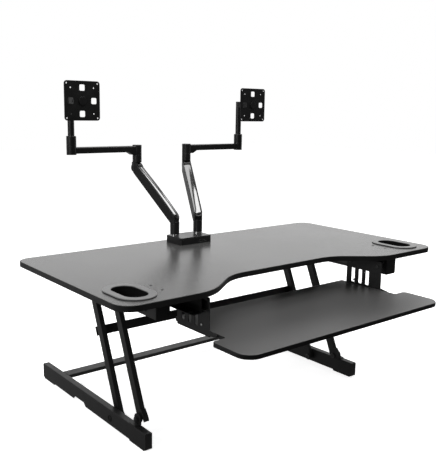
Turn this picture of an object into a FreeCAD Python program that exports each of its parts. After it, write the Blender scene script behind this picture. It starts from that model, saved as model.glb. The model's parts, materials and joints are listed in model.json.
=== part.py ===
"""Standing desk converter with a sliding keyboard tray and a twin monitor arm.

Millimetres.  X runs to the user's right, Y to the rear and Z up.  Every piece is drawn where it
sits with the worktop raised and the keyboard tray pulled out.  Sizes below put Y = 0 under the
centre of the worktop; the finished pieces are moved so that the origin is on the desk surface, at
the middle of the whole footprint from the tray's front edge to the rear ends of the feet.
"""

import FreeCAD
import Part
import math
import os

V = FreeCAD.Vector
X, Y, Z = V(1, 0, 0), V(0, 1, 0), V(0, 0, 1)

# Worktop.
TOP_WIDTH = 1168.0
TOP_DEPTH = 584.0
TOP_HEIGHT = 459.0
TOP_THICK = 15.0
TOP_UNDER = TOP_HEIGHT - TOP_THICK
BAND = 2.0
CUT_DEPTH = 97.0
CUT_FLAT = 195.5
CUT_WIDE = 329.0
CUT_RADIUS = 140.0
FRONT_CORNER = 48.0
REAR_CORNER = 42.0

# Oval grommets in the two front lobes.
GROMMET_X = 505.0
GROMMET_Y = -192.0
GROMMET_HOLE = (62.0, 112.0)
GROMMET_RIM = (102.0, 152.0)
GROMMET_WALL = 2.5
GROMMET_RISE = 3.5
GROMMET_DROP = 12.0

# Feet: inverted steel channels on rubber pads.
PAD = 5.0
FOOT_X = (400.0, 422.0)
FOOT_Y = (-128.0, 490.0)
FOOT_TALL = 45.0
FOOT_WALL = 2.0
FOOT_TOP = PAD + FOOT_TALL
BAR_Y = (349.0, 388.0)
BAR_TALL = 12.0

# Lift linkage: four equal parallel links lean rearward.
LINK_X = (381.0, 396.0)
LINK_WIDE = 24.0
LINK_WALL = 1.5
LINK_LENGTH = 400.0
LEAN = math.radians(23.28)
REAR_LOW = (54.0, 25.0)
FRONT_LOW = (-61.0, 63.0)
LIFT_TRAVEL = math.radians(58.5)
BOLT_R = 5.0
BUSH_R = 7.0
SPAN_AT = (233.0, 260.0)
SPAN_THICK = 12.5

# Side rails under the worktop.
RAIL_X = (400.0, 441.0)
RAIL_Y = (-205.0, 250.0)
RAIL_LOW = 382.0
RAIL_WALL = 2.0

# Lift cranks and gas springs inside the side rails.
CRANK_R = 34.0
CRANK_PIN_R = 4.0
SHAFT_R = 6.0
SPRING_X = 420.5
SPRING_Z = 398.0
SPRING_R = 10.0
SPRING_Y = (-150.0, 40.0)
ROD_R = 4.0

# Keyboard tray, its brackets and slides.
TRAY_TOP = 352.0
TRAY_THICK = 12.0
TRAY_WIDE = 372.0
TRAY_NARROW = 328.0
TRAY_Y = (-462.0, -334.0, -128.0)
BRACKET_X = (331.0, 333.0)
BRACKET_Y = (-277.0, -144.0)
BRACKET_Z = (343.0, 437.0)
SLOT_Y = (-170.0, -198.0, -225.0)
SLOT_Z = (355.0, 401.0)
SLOT_WIDE = 13.5
HANGER_X = (346.0, 373.0)
HANGER_Z = 396.0
SLIDE_Y = (-262.0, 150.0)
INNER_Y = (-277.0, -27.0)
SLIDE_MID = (HANGER_Z + TOP_UNDER) / 2
SLIDE_BOLT_R = 2.5
SLIDE_BOLT_AT = [(-262.0, SLIDE_MID), (-158.0, SLIDE_MID)]
FLANGE_Z = (TRAY_TOP - TRAY_THICK - 2, TRAY_TOP - TRAY_THICK)
TRAY_SCREW_R = 2.0
TRAY_SCREW_AT = [(BRACKET_X[0] - 17, -255.0), (BRACKET_X[0] - 17, -165.0)]

# Fixings under the worktop and the squeeze lever.
RAIL_SCREW_AT = [(x, y) for x in (RAIL_X[0] + 12, RAIL_X[1] - 12) for y in (-185, 35, 165)]
HANGER_SCREW_AT = [(HANGER_X[1] - 9, y) for y in (-240, -60, 120)]
SCREW_R = 2.5
SCREW_DEPTH = 9.0
LEVER_AXIS = (449.0, 428.0)
LEVER_Y = (-190.0, -92.0)

# Monitor arm: base, posts, spring arms and extensions.
ARM_BASE_X = (-85.0, 38.0)
ARM_BASE_Y = (184.0, 268.0)
ARM_BASE_TALL = 19.0
ARM_COVER = 4.0
POST_Y = 240.0
POST_R = 15.0
ELBOW_Z = 537.5
ARM_REACH = 149.6
ARM_LIFT = 156.2
ARM_LENGTH = math.hypot(ARM_REACH, ARM_LIFT)
ARM_RISE = math.atan2(ARM_LIFT, ARM_REACH)
ARMS = {"left": (-70.0, 111.0), "right": (23.0, 69.0)}
EXTENSION = 235.0
NECK_TOP = 42.0
PLATE_SIZE = 115.0
BASE_TOP = TOP_HEIGHT + ARM_BASE_TALL
COVER_TOP = BASE_TOP + ARM_COVER
COLLAR = 5.0
SPINDLE_R = 10.0
SPINDLE_TOP = ELBOW_Z - 20
PORT_X = (ARM_BASE_X[1] - 54, ARM_BASE_X[1] - 18)
PORT_Z = (TOP_HEIGHT + 4, BASE_TOP - 4)
CHEEK = 3.0
TONGUE_HALF = POST_R - CHEEK - 0.3
PIN_R = 5.0
PIN_HALF = POST_R - 0.9
ARM_LOW, ARM_HIGH = -15.0, 12.5
COVER_HIGH = 16.2
SWEEP_R = 16.8
STANDOFF = 17.2
ELBOW_BARREL = 9.0
NECK_BARREL = 16.2
HEAD_SPINDLE_R = 9.0
TILT_PIN_R = 4.0
TURN_PIN_R = 8.0
HUB_TALL = 32.0
ARM_END_LOW = NECK_TOP + 6
ARM_END_TOP = NECK_TOP + HUB_TALL
PAN_LOW = ARM_END_TOP + 0.2
SLEEVE_TALL = 31.0
RISER_R = 10.0
TILT_UP = PAN_LOW + 136
TILT_OUT = 40.0

RUN = 0.05  # radial clearance of a pin in its hole
TURN = 0.08  # radial clearance of a bearing that turns
FOOTPRINT_MIDDLE = (TRAY_Y[0] + FOOT_Y[1]) / 2


def box(x, y, z):
    """A block between the low and high values given on each axis."""
    return Part.makeBox(x[1] - x[0], y[1] - y[0], z[1] - z[0], V(x[0], y[0], z[0]))


def rod(start, axis, radius, length):
    return Part.makeCylinder(radius, length, V(*start), axis)


def ring(start, axis, inner, outer, length):
    return rod(start, axis, outer, length).cut(rod(start, axis, inner, length))


def fuse(shapes):
    first, rest = shapes[0], shapes[1:]
    return first.fuse(rest).removeSplitter() if rest else first


def mirror(shape):
    """The same piece on the user's left."""
    return shape.mirror(V(0, 0, 0), X)


def pair(shape):
    return Part.makeCompound([shape, mirror(shape)])


def both(shapes):
    """A group of separate solids with their mirror images."""
    return Part.makeCompound(shapes + [mirror(s) for s in shapes])


def rounded(points):
    """A closed wire through (a, b, radius) corners, drawn in the XY plane."""
    count = len(points)
    edges, joins = [], []
    for i, (a, b, radius) in enumerate(points):
        here = V(a, b, 0)
        before = V(points[i - 1][0], points[i - 1][1], 0)
        after = V(points[(i + 1) % count][0], points[(i + 1) % count][1], 0)
        if radius == 0:
            joins.append((here, here))
            continue
        back, on = (before - here).normalize(), (after - here).normalize()
        half = back.getAngle(on) / 2
        reach = radius / math.tan(half)
        start, end = here + back * reach, here + on * reach
        middle = (back + on).normalize()
        centre = here + middle * (radius / math.sin(half))
        edges.append(Part.Arc(start, centre - middle * radius, end).toShape())
        joins.append((start, end))
    for i in range(count):
        a, b = joins[i][1], joins[(i + 1) % count][0]
        if a.distanceToPoint(b) > 1e-6:
            edges.append(Part.makeLine(a, b))
    return Part.Wire(Part.__sortEdges__(edges))


def slab(wire, low, high):
    """Extrude an XY wire between two heights."""
    face = Part.Face(wire)
    face.translate(V(0, 0, low))
    return face.extrude(V(0, 0, high - low))


def plate(x, y, z, radius):
    """A block whose four upright edges are rounded."""
    corners = [(x[0], y[0], radius), (x[1], y[0], radius), (x[1], y[1], radius), (x[0], y[1], radius)]
    return slab(rounded(corners), z[0], z[1])


def side_profile(points, x):
    """Extrude a (y, z, radius) outline along X."""
    face = Part.Face(rounded(points))
    face.rotate(V(0, 0, 0), V(1, 1, 1), 120)
    face.translate(V(x[0], 0, 0))
    return face.extrude(V(x[1] - x[0], 0, 0))


def hexagon(start, axis, radius, length):
    """A hexagonal nut or head blank."""
    flat = Part.Face(Part.makePolygon([
        V(radius * math.cos(math.radians(60 * i)), radius * math.sin(math.radians(60 * i)), 0)
        for i in range(7)
    ]))
    nut = flat.extrude(V(0, 0, length))
    nut.Placement = FreeCAD.Placement(V(*start), FreeCAD.Rotation(Z, axis))
    return nut


def screw(under_head, axis, head_r, head_tall, radius, length):
    """A button-head screw: axis points from the head along the shank."""
    at = V(*under_head)
    head = Part.makeCylinder(head_r, head_tall, at - axis * head_tall, axis)
    crown = [e for e in head.Edges if abs((e.CenterOfMass - (at - axis * head_tall)).Length) < 0.1]
    head = head.makeFillet(head_tall * 0.45, crown[:1])
    socket = Part.makeCylinder(head_r * 0.4, head_tall * 0.6, at - axis * head_tall, axis)
    return fuse([head.cut(socket), Part.makeCylinder(radius, length, at, axis)])


def filleted(shape, radius, pick):
    """Round the edges that pick(edge) accepts."""
    return shape.makeFillet(radius, [e for e in shape.Edges if pick(e)])


def at_height(z):
    """Picks edges that lie flat at one height."""
    return lambda e: abs(e.BoundBox.ZMin - z) < 1e-4 and abs(e.BoundBox.ZMax - z) < 1e-4


def lean(shape, pivot):
    """Stand a piece drawn along Z from the origin on a lower pivot, leaning rearward."""
    placed = shape.copy()
    placed.rotate(V(0, 0, 0), V(-1, 0, 0), math.degrees(LEAN))
    placed.translate(V(0, pivot[0], pivot[1]))
    return placed


def link_top(pivot):
    """The upper pivot of the link that starts at a lower pivot."""
    return (pivot[0] + LINK_LENGTH * math.sin(LEAN), pivot[1] + LINK_LENGTH * math.cos(LEAN))


REAR_HIGH = link_top(REAR_LOW)
FRONT_HIGH = link_top(FRONT_LOW)


# ---------------------------------------------------------------- base frame

def foot():
    """Right foot: an open-bottomed channel with an arched relief in its lower edges."""
    x, y = FOOT_X, (FOOT_Y[0] + FOOT_WALL, FOOT_Y[1] - FOOT_WALL)
    body = filleted(box(x, y, (PAD, FOOT_TOP)), 2.5,
                    lambda e: abs(e.BoundBox.ZMin - FOOT_TOP) < 1e-4 and e.BoundBox.YLength > 100)
    inside = box((x[0] + FOOT_WALL, x[1] - FOOT_WALL), (y[0] - 1, y[1] + 1), (PAD - 1, FOOT_TOP - FOOT_WALL))
    relief = side_profile([(196, PAD - 4, 0), (209, PAD + 10, 3), (266, PAD + 10, 3), (279, PAD - 4, 0)],
                          (x[0] - 1, x[1] + 1))
    pivot = rod((x[0] - 1, REAR_LOW[0], REAR_LOW[1]), X, BOLT_R + RUN, FOOT_WALL + 2)
    access = rod((x[1] - FOOT_WALL - 1, REAR_LOW[0], REAR_LOW[1]), X, BOLT_R + 3.5, FOOT_WALL + 2)
    return body.cut([inside, relief, pivot, access])


def foot_cap(front):
    """Plastic cap that plugs one end of a foot channel."""
    reach = 14.0
    face_y = FOOT_Y[0] if front else FOOT_Y[1] - FOOT_WALL
    plug_y = (face_y + FOOT_WALL, face_y + FOOT_WALL + reach) if front else (face_y - reach, face_y)
    face = box(FOOT_X, (face_y, face_y + FOOT_WALL), (PAD, FOOT_TOP))
    face = filleted(face, 2.5, lambda e: e.BoundBox.YLength > 1 and e.BoundBox.ZMin > FOOT_TOP - 1)
    fit = FOOT_WALL + 0.2
    plug = box((FOOT_X[0] + fit, FOOT_X[1] - fit), plug_y, (PAD + 9, FOOT_TOP - fit))
    return fuse([face, plug])


def rubber_pad(y):
    """Rubber foot with a stem that fills the channel above it."""
    sole = filleted(plate((FOOT_X[0] + 0.5, FOOT_X[1] - 0.5), y, (0, PAD), 3), 1.2, at_height(0))
    fit = FOOT_WALL + 0.2
    stem = box((FOOT_X[0] + fit, FOOT_X[1] - fit), (y[0] + 6, y[1] - 6), (PAD, PAD + 6))
    return fuse([sole, stem])


def crossbar():
    """Flat tube welded between the feet, flush with their tops."""
    reach = FOOT_X[0]
    low = FOOT_TOP - BAR_TALL
    tube = filleted(box((-reach, reach), BAR_Y, (low, FOOT_TOP)), 2.0, lambda e: e.BoundBox.XLength > 100)
    inside = box((-reach - 1, reach + 1), (BAR_Y[0] + 1.5, BAR_Y[1] - 1.5), (low + 1.5, FOOT_TOP - 1.5))
    return tube.cut(inside)


def pivot_lug():
    """Angle bracket on top of the right foot that carries the front link's lower pivot."""
    y, z = FRONT_LOW
    thick = 4.0
    leg = plate((FOOT_X[0], FOOT_X[1] - 1), (y - 15, y + 15), (FOOT_TOP, FOOT_TOP + 3), 2)
    upright = box((FOOT_X[0], FOOT_X[0] + thick), (y - 15, y + 15), (FOOT_TOP, z))
    top = rod((FOOT_X[0], y, z), X, 15, thick)
    hole = rod((FOOT_X[0] - 1, y, z), X, BOLT_R + RUN, thick + 2)
    foot_space = box(FOOT_X, (y - 20, y + 20), (PAD, FOOT_TOP))
    return fuse([leg, upright, top]).cut([hole, foot_space])


def pivot_bolt(pivot, wall):
    """Shoulder bolt and lock nut of one link pivot; the head is on the inboard side."""
    head = 3.6
    reach = FOOT_X[0] + wall
    bolt = screw((LINK_X[0] - 0.3, pivot[0], pivot[1]), X, 9, head, BOLT_R, reach + 9 - LINK_X[0])
    nut = hexagon((reach + RUN, pivot[0], pivot[1]), X, 8.2, 6)
    return [bolt, nut.cut(rod((reach, pivot[0], pivot[1]), X, BOLT_R + RUN, 10))]


def pivot_bush(pivot):
    """Flanged nylon bush between a link, its bolt and the wall beside it."""
    y, z = pivot
    sleeve = rod((LINK_X[0], y, z), X, BUSH_R, FOOT_X[0] - LINK_X[0] - 0.1)
    flange = rod((LINK_X[1] + 0.2, y, z), X, 11, FOOT_X[0] - LINK_X[1] - 0.3)
    return fuse([sleeve, flange]).cut(rod((LINK_X[0] - 1, y, z), X, BOLT_R + RUN, 25))


# ---------------------------------------------------------------- lift linkage

def link(top_hole):
    """Right-hand link drawn upright: a rectangular tube with rounded ends."""
    half = LINK_WIDE / 2
    body = box(LINK_X, (-half, half), (0, LINK_LENGTH))
    ends = [rod((LINK_X[0], 0, z), X, half, LINK_X[1] - LINK_X[0]) for z in (0, LINK_LENGTH)]
    inside = box((LINK_X[0] + LINK_WALL, LINK_X[1] - LINK_WALL), (LINK_WALL - half, half - LINK_WALL),
                 (-half - 1, LINK_LENGTH + half + 1))
    holes = [rod((LINK_X[0] - 1, 0, z), X, r + RUN, 20)
             for z, r in ((0, BUSH_R), (LINK_LENGTH, top_hole))]
    return fuse([body] + ends).cut([inside] + holes)


def rear_link():
    return lean(link(BUSH_R), REAR_LOW)


def front_link():
    """Front link with the bent stop tab welded to its lower end."""
    tab = side_profile([(-12, 22, 0), (-12, 4, 0), (-17, -13, 1), (-22, -11, 2), (-21, 2, 2),
                        (-15.5, 22, 1)], LINK_X)
    return lean(fuse([link(SHAFT_R), tab]), FRONT_LOW)


def upper_crossbar():
    """Flat tube across the rear faces of the rear links."""
    n = LINK_WIDE / 2
    reach = LINK_X[1]
    tube = box((-reach, reach), (n, n + SPAN_THICK), SPAN_AT)
    tube = filleted(tube, 1.5, lambda e: e.BoundBox.XLength > 100)
    inside = box((-reach - 1, reach + 1), (n + 1.5, n + SPAN_THICK - 1.5),
                 (SPAN_AT[0] + 1.5, SPAN_AT[1] - 1.5))
    return lean(tube.cut(inside), REAR_LOW)


def crank():
    """Shaft through the front link's upper end, with an arm and pin inside the rail."""
    y, z = FRONT_HIGH
    swing = LIFT_TRAVEL / 2
    pin_y, pin_z = y + CRANK_R * math.sin(swing), z - CRANK_R * math.cos(swing)
    arm_x, arm_thick = 408.0, 5.0
    head = rod((LINK_X[0] - 4, y, z), X, 9, 3.7)
    shaft = rod((LINK_X[0] - 1, y, z), X, SHAFT_R, arm_x + arm_thick - LINK_X[0] + 1)
    hub = rod((arm_x, y, z), X, 10.5, arm_thick)
    eye = rod((arm_x, pin_y, pin_z), X, 8, arm_thick)
    arm = box((arm_x, arm_x + arm_thick), (-7, 7), (-CRANK_R, 0))
    arm.rotate(V(0, 0, 0), X, math.degrees(swing))
    arm.translate(V(0, y, z))
    pin = rod((arm_x, pin_y, pin_z), X, CRANK_PIN_R, arm_thick + 14)
    return fuse([head, shaft, hub, eye, arm, pin])


def crank_bush():
    """Bush in the rail's inner wall that the crank shaft turns in."""
    y, z = FRONT_HIGH
    bore = SHAFT_R + 0.1
    sleeve = ring((RAIL_X[0] - 1.5, y, z), X, bore, 9, RAIL_WALL + 3)
    flange = ring((RAIL_X[0] + RAIL_WALL, y, z), X, bore, 11, 1.5)
    return fuse([sleeve, flange])


# ---------------------------------------------------------------- worktop

def top_outline(inset):
    """Worktop outline with a shallow cut-out in its front edge, moved in by inset."""
    w, d = TOP_WIDTH / 2 - inset, TOP_DEPTH / 2 - inset
    flat = inset * math.tan(math.atan2(CUT_DEPTH, CUT_WIDE - CUT_FLAT) / 2)
    front, cut = -d, -TOP_DEPTH / 2 + CUT_DEPTH + inset
    convex, concave = CUT_RADIUS - inset, CUT_RADIUS + inset
    return rounded([
        (-w, d, REAR_CORNER - inset), (-w, front, FRONT_CORNER - inset),
        (-CUT_WIDE - flat, front, convex), (-CUT_FLAT - flat, cut, concave),
        (CUT_FLAT + flat, cut, concave), (CUT_WIDE + flat, front, convex),
        (w, front, FRONT_CORNER - inset), (w, d, REAR_CORNER - inset),
    ])


def stadium(size, low, high, grow=0.0):
    """An upright oval prism at the right-hand grommet."""
    w, d = size[0] / 2 + grow, size[1] / 2 + grow
    return plate((GROMMET_X - w, GROMMET_X + w), (GROMMET_Y - d, GROMMET_Y + d), (low, high), w - 0.01)


def grommet():
    """Moulded oval liner with a raised rim."""
    top = TOP_HEIGHT + GROMMET_RISE
    rim = stadium(GROMMET_RIM, TOP_HEIGHT + 0.02, top)
    rim = filleted(rim, 1.8, at_height(top))
    sleeve = stadium(GROMMET_HOLE, TOP_UNDER - GROMMET_DROP, TOP_HEIGHT + 1, GROMMET_WALL)
    hole = stadium(GROMMET_HOLE, TOP_UNDER - GROMMET_DROP - 1, top + 1)
    body = fuse([rim, sleeve]).cut(hole)
    inner_edge = [e for e in body.Edges
                  if abs(e.BoundBox.ZMin - top) < 1e-4 and abs(e.BoundBox.ZMax - top) < 1e-4
                  and abs(e.CenterOfMass.x - GROMMET_X) < GROMMET_HOLE[0] / 2 + 1
                  and abs(e.CenterOfMass.y - GROMMET_Y) < GROMMET_HOLE[1] / 2 + 1]
    return body.makeFillet(1.2, inner_edge)




def wood_screws():
    """Screws that hold the side rails and slide hangers up to the worktop."""
    return [screw((x, y, TOP_UNDER - 2), Z, 4.5, 2.2, SCREW_R, SCREW_DEPTH + 2)
            for x, y in RAIL_SCREW_AT + HANGER_SCREW_AT]


def pilot_holes(grow=RUN):
    holes = []
    for x, y in RAIL_SCREW_AT + HANGER_SCREW_AT:
        for side in (1, -1):
            holes.append(rod((side * x, y, TOP_UNDER - 3), Z, SCREW_R + grow, SCREW_DEPTH + 3.5))
    return holes


def arm_clamp_bolts_at():
    x, y = ARM_BASE_X, ARM_BASE_Y
    return [(a, b) for a in (x[0] + 14, x[1] - 14) for b in (y[0] + 14,)]


def worktop_board():
    """Laminated board, 2 mm inside the finished outline."""
    board = slab(top_outline(BAND), TOP_UNDER, TOP_HEIGHT)
    oval = stadium(GROMMET_HOLE, TOP_UNDER - 1, TOP_HEIGHT + 1, GROMMET_WALL + 0.3)
    bolts = [rod((x, y, TOP_UNDER - 1), Z, 3 + RUN, TOP_THICK + 2) for x, y in arm_clamp_bolts_at()]
    return board.cut([oval, mirror(oval)] + pilot_holes() + bolts)


def edge_band():
    """Plastic edging glued round the board, softened at its arrises."""
    outer = slab(top_outline(0), TOP_UNDER, TOP_HEIGHT)
    outer = filleted(outer, 1.2, at_height(TOP_HEIGHT))
    outer = filleted(outer, 1.6, at_height(TOP_UNDER))
    return outer.cut(slab(top_outline(BAND), TOP_UNDER - 1, TOP_HEIGHT + 1))


def side_rail():
    """Right box rail screwed under the worktop; it houses the crank and gas spring."""
    tube = filleted(box(RAIL_X, RAIL_Y, (RAIL_LOW, TOP_UNDER)), 3.0,
                    lambda e: e.BoundBox.YLength > 100 and e.BoundBox.ZMax < RAIL_LOW + 1)
    inside = box((RAIL_X[0] + RAIL_WALL, RAIL_X[1] - RAIL_WALL), (RAIL_Y[0] - 1, RAIL_Y[1] + 1),
                 (RAIL_LOW + RAIL_WALL, TOP_UNDER - RAIL_WALL))
    holes = [
        rod((RAIL_X[0] - 1, REAR_HIGH[0], REAR_HIGH[1]), X, BOLT_R + RUN, 4),
        rod((RAIL_X[0] - 1, FRONT_HIGH[0], FRONT_HIGH[1]), X, 9 + RUN, 4),
        rod((RAIL_X[0] - 1, SPRING_Y[0] - 10, SPRING_Z), X, 4.05, 50),
    ]
    holes += [rod((x, y, TOP_UNDER - 3), Z, SCREW_R + RUN, 4) for x, y in RAIL_SCREW_AT]
    holes += [rod((x, y, RAIL_LOW - 1), Z, 5, 4) for x, y in RAIL_SCREW_AT]
    return tube.cut(inside).cut(holes)


def rail_cap(y, outward):
    """Plastic plug in a rail end; outward is -1 at the front and 1 at the rear."""
    face_y = sorted((y, y + outward * 2.5))
    face = plate(RAIL_X, face_y, (RAIL_LOW, TOP_UNDER - 0.2), 0.5)
    plug_y = sorted((y, y - outward * 12))
    fit = RAIL_WALL + 0.25
    plug = box((RAIL_X[0] + fit, RAIL_X[1] - fit), plug_y, (RAIL_LOW + fit, TOP_UNDER - fit - 0.3))
    return fuse([face, plug])


def lever_housing():
    """Moulded shell on the front end of the right rail, over the release cable."""
    y = (RAIL_Y[0] - 41, RAIL_Y[0])
    x = (RAIL_X[0] - 2, RAIL_X[1] + 4)
    shell = box(x, y, (RAIL_LOW - 1, TOP_UNDER - 0.2))
    shell = filleted(shell, 5, lambda e: e.BoundBox.YLength > 30)
    shell = filleted(shell, 2, lambda e: abs(e.BoundBox.YMax - y[0]) < 1e-3)
    return shell.cut(box((x[0] + 2.5, x[1] - 2.5), (y[0] + 2.5, y[1] + 1), (RAIL_LOW + 1.5, TOP_UNDER - 2.7)))




def lever_bracket():
    """Two ears on the outer face of the right rail with the lever's hinge pin riveted in."""
    x, z = LEVER_AXIS
    base = box((RAIL_X[1], RAIL_X[1] + 2), (LEVER_Y[0] - 6, LEVER_Y[1] + 6), (z - 14, z + 10))
    ears = []
    for y in (LEVER_Y[0] - 6, LEVER_Y[1] + 3):
        block = box((RAIL_X[1], x), (y, y + 3), (z - 8, z + 8))
        ears += [block, rod((x, y, z), Y, 8, 3)]
    pin = rod((x, LEVER_Y[0] - 8, z), Y, 3, LEVER_Y[1] - LEVER_Y[0] + 16)
    return fuse([base] + ears + [pin])


def release_lever():
    """Finger paddle that is squeezed up towards the worktop."""
    x, z = LEVER_AXIS
    y = (LEVER_Y[0] + 0.5, LEVER_Y[1] - 0.5)
    gap = (-150.0, -132.0)
    barrel = rod((x, y[0], z), Y, 5.5, y[1] - y[0])
    stem = box((x, x + 5), y, (z - 18, z - 2))
    grip = filleted(box((x, x + 34), y, (z - 21, z - 15)), 2.6, lambda e: e.BoundBox.YLength > 50)
    body = fuse([barrel, stem, grip])
    return body.cut([rod((x, y[0] - 1, z), Y, 3.08, 200), box((x - 8, x + 8), gap, (z - 12, z + 8))])


def lever_spring():
    """Return spring coiled round the lever's pin."""
    x, z = LEVER_AXIS
    coil = Part.makeHelix(2.6, 13.0, 4.6)
    start = Part.Wire(Part.makeCircle(0.7, V(4.6, 0, 0), Y))
    coil_body = Part.Wire(coil.Edges).makePipeShell([start], True, True)
    coil_body.rotate(V(0, 0, 0), X, -90)
    coil_body.translate(V(x, -147.5, z))
    return coil_body


def gas_cylinder():
    """Gas spring body: a tube with a rod guide at the rear and a flat eye at the front."""
    front, rear = SPRING_Y
    body = rod((SPRING_X, front, SPRING_Z), Y, SPRING_R, rear - front)
    chamber = rod((SPRING_X, front + 10, SPRING_Z), Y, 8.5, rear - front - 20)
    guide = rod((SPRING_X, rear - 11, SPRING_Z), Y, ROD_R + 0.1, 12)
    eye_y = front - 10
    eye = fuse([box((SPRING_X - 4, SPRING_X + 4), (eye_y, front + 1), (SPRING_Z - 7, SPRING_Z + 7)),
                rod((SPRING_X - 4, eye_y, SPRING_Z), X, 7, 8)])
    return fuse([body, eye]).cut([chamber, guide, rod((SPRING_X - 5, eye_y, SPRING_Z), X, 4.05, 10)])


def gas_rod():
    """Piston and rod with a slotted eye that the crank pin rides in."""
    swing = LIFT_TRAVEL / 2
    pin_y = FRONT_HIGH[0] + CRANK_R * math.sin(swing)
    pin_low, pin_high = FRONT_HIGH[1] - CRANK_R, FRONT_HIGH[1] - CRANK_R * math.cos(swing)
    slot_r = CRANK_PIN_R + 0.6
    x = (SPRING_X - 6, SPRING_X + 6)
    block = box(x, (pin_y - 9, pin_y + 9), (pin_low - 9, pin_high + 9))
    block = filleted(block, 4, lambda e: e.BoundBox.XLength > 10)
    slot = [rod((x[0] - 1, pin_y, z), X, slot_r, 20) for z in (pin_low, pin_high)]
    slot.append(box((x[0] - 1, x[1] + 1), (pin_y - slot_r, pin_y + slot_r), (pin_low, pin_high)))
    tail = -20.0
    stem = rod((SPRING_X, tail, SPRING_Z), Y, ROD_R, pin_y - 8 - tail)
    piston = rod((SPRING_X, tail - 7, SPRING_Z), Y, 8.4, 8)
    return fuse([block.cut(slot), stem, piston])


def spring_pin():
    """Cross pin through the rail that anchors the gas spring's eye."""
    y = SPRING_Y[0] - 10
    return screw((RAIL_X[0], y, SPRING_Z), X, 7, 2.5, 4, RAIL_X[1] - RAIL_X[0] + 3)


def release_cable():
    """Sheathed cable from the lever bracket, inside the rail, to the spring's release head."""
    points = [V(RAIL_X[1] - 5.5, -140, 425), V(RAIL_X[1] - 6, -165, 427), V(RAIL_X[1] - 12, -186, 424),
              V(SPRING_X + 3, -188, 408), V(SPRING_X, -176, SPRING_Z + 14), V(SPRING_X, -160, SPRING_Z + 14)]
    curve = Part.BSplineCurve()
    curve.interpolate(points)
    path = Part.Wire(curve.toShape())
    tangent = curve.tangent(curve.FirstParameter)[0]
    section = Part.Wire(Part.makeCircle(1.6, points[0], tangent))
    return path.makePipeShell([section], True, False)


# ---------------------------------------------------------------- keyboard tray

def tray_board():
    """Tray with a wide front part and a narrower tongue between its brackets."""
    front, ear, rear = TRAY_Y
    outline = [(-TRAY_WIDE, front, 40), (TRAY_WIDE, front, 40), (TRAY_WIDE, ear, 12), (TRAY_NARROW, ear, 5),
               (TRAY_NARROW, rear, 3), (-TRAY_NARROW, rear, 3), (-TRAY_NARROW, ear, 5), (-TRAY_WIDE, ear, 12)]
    board = slab(rounded(outline), TRAY_TOP - TRAY_THICK, TRAY_TOP)
    board = filleted(board, 1.5, at_height(TRAY_TOP))
    board = filleted(board, 1.5, at_height(TRAY_TOP - TRAY_THICK))
    holes = [rod((s * x, y, TRAY_TOP - TRAY_THICK - 1), Z, TRAY_SCREW_R + RUN, 10.5)
             for x, y in TRAY_SCREW_AT for s in (1, -1)]
    return board.cut(holes)


def tray_bracket():
    """Sheet bracket: an upright plate with three slots, a flange under the tray and a front hook."""
    plate_face = side_profile([(BRACKET_Y[0], FLANGE_Z[0], 0), (BRACKET_Y[1], FLANGE_Z[0], 0),
                               (BRACKET_Y[1], BRACKET_Z[1], 4), (BRACKET_Y[0], BRACKET_Z[1], 4)], BRACKET_X)
    hook = side_profile([(BRACKET_Y[0] - 28, 344, 3), (BRACKET_Y[0] + 4, 340, 0), (BRACKET_Y[0] + 4, 356, 0),
                         (BRACKET_Y[0] - 28, 351, 3)], BRACKET_X)
    flange = box((BRACKET_X[0] - 31, BRACKET_X[0]), BRACKET_Y, FLANGE_Z)
    slots = []
    for y in SLOT_Y:
        half = SLOT_WIDE / 2
        slots.append(side_profile([(y - half, SLOT_Z[0], 3), (y + half, SLOT_Z[0], 3),
                                   (y + half, SLOT_Z[1], 3), (y - half, SLOT_Z[1], 3)],
                                  (BRACKET_X[0] - 1, BRACKET_X[1] + 1)))
    holes = [rod((BRACKET_X[0] - 1, y, z), X, SLIDE_BOLT_R + RUN, 4) for y, z in SLIDE_BOLT_AT]
    holes += [rod((x, y, FLANGE_Z[0] - 1), Z, TRAY_SCREW_R + RUN, 4) for x, y in TRAY_SCREW_AT]
    return fuse([plate_face, hook, flange]).cut(slots + holes)


def tray_fasteners():
    """Bolts from each bracket into its slide, and screws up through its flange into the tray."""
    bolts = [screw((BRACKET_X[0], y, z), X, 5, 2.4, SLIDE_BOLT_R, 5) for y, z in SLIDE_BOLT_AT]
    screws = [screw((x, y, FLANGE_Z[0]), Z, 4, 2, TRAY_SCREW_R, 11) for x, y in TRAY_SCREW_AT]
    return bolts + screws


def slide_hanger():
    """C-section that hangs the slide below the worktop."""
    x, z = HANGER_X, (HANGER_Z, TOP_UNDER)
    leg = box((x[0], x[0] + 2), SLIDE_Y, z)
    floor = box(x, SLIDE_Y, (z[0], z[0] + 2))
    roof = box(x, SLIDE_Y, (z[1] - 2, z[1]))
    holes = [rod((a, y, z[1] - 3), Z, SCREW_R + RUN, 4) for a, y in HANGER_SCREW_AT]
    holes += [rod((a, y, z[0] - 1), Z, 5, 4) for a, y in HANGER_SCREW_AT]
    return fuse([leg, floor, roof]).cut(holes)


def slide_outer():
    """Fixed slide member: a C with inturned lips, open towards the tray."""
    x = (HANGER_X[0] - 11, HANGER_X[0])
    half = 21.5
    web = box((x[1] - 1.4, x[1]), SLIDE_Y, (SLIDE_MID - half, SLIDE_MID + half))
    parts = [web]
    for side in (-1, 1):
        edge = SLIDE_MID + side * half
        wall = sorted((edge, edge - side * 1.4))
        lip = sorted((edge, edge - side * 5.5))
        parts += [box(x, SLIDE_Y, wall), box((x[0], x[0] + 1.2), SLIDE_Y, lip)]
    return fuse(parts)


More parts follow.
